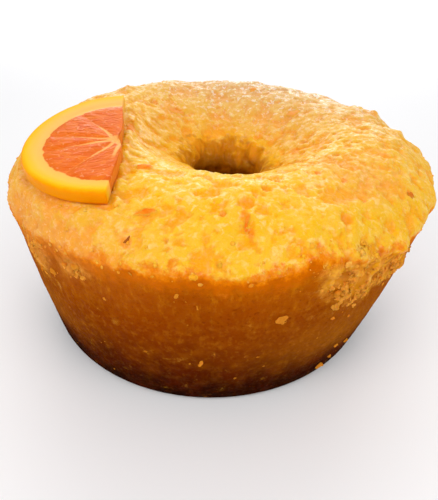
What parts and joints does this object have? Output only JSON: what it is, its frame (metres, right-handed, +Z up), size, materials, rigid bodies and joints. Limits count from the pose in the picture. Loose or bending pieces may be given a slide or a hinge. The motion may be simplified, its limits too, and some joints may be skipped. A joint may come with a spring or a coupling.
{
  "type": "ring cake with orange slice",
  "caption": "Tall orange ring cake with a tapered browned wall, a rough domed crown, a hole through its middle and half a slice of orange lying on its shoulder.",
  "frame": {"origin": "on the flat base, under the middle of the cake's widest outline", "axes": "+Z up along the hole, -Y towards the side that the picture shows, the orange slice lies towards -X"},
  "size_m": [0.1989, 0.2005, 0.1065],
  "materials": {
    "cake": "moist golden crumb on the crown and browned crust on the wall, with a thin glaze of syrup",
    "orange": "wet pink-orange flesh inside a yellow rind"
  },
  "bodies": {
    "root": {"cake": "cake", "orange_slice": "orange"}
  },
  "joints": []
}
